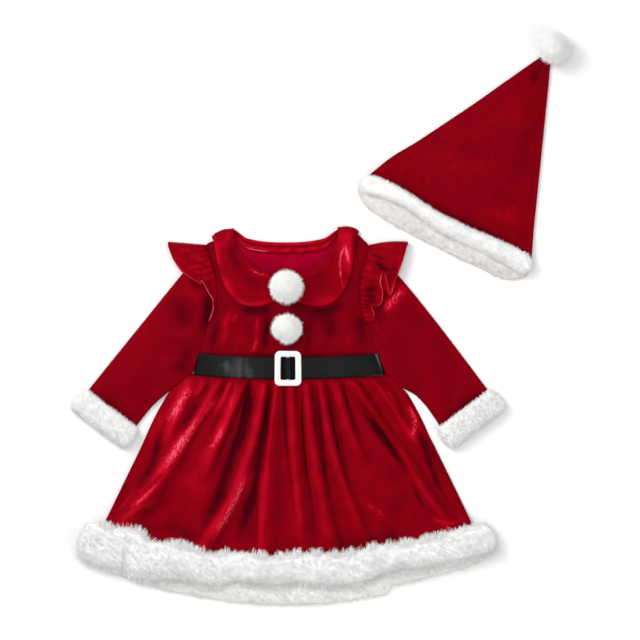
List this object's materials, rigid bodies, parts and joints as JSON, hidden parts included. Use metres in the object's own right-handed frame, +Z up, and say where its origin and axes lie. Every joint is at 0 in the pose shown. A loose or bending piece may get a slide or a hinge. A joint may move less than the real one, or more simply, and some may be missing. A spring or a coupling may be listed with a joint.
{
  "type": "costume dress and hat set",
  "caption": "Toddler's red velvet Santa dress with ruffled shoulders, collar, belt, fur trim and pompoms, laid flat beside its pointed hat.",
  "frame": {"origin": "middle of the whole set's outline, dress and hat together, on the surface that it lies on", "axes": "+Z up from the surface, +Y from the dress's hem to its neck, +X to the picture's right, where the hat lies"},
  "size_m": [0.598, 0.6898, 0.0495],
  "materials": {
    "velvet": "crushed stretch velvet with a strong sheen",
    "fur": "matte white plush fur",
    "belt": "smooth black imitation leather, satin",
    "buckle": "glossy white"
  },
  "bodies": {
    "root": {"bodice_front": "velvet", "bodice_back": "velvet", "neck_facing": "velvet", "collar_left": "velvet", "collar_right": "velvet", "ruffle_left": "velvet", "ruffle_right": "velvet", "sleeve_left": "velvet", "sleeve_right": "velvet", "cuff_left": "fur", "cuff_right": "fur", "skirt_front": "velvet", "skirt_back": "velvet", "hem_fur_front": "fur", "hem_fur_back": "fur", "belt": "belt", "buckle": "buckle", "pompom_upper": "fur", "pompom_lower": "fur", "hat_front": "velvet", "hat_back": "velvet", "hat_brim_front": "fur", "hat_brim_back": "fur", "hat_pompom": "fur"}
  },
  "joints": []
}
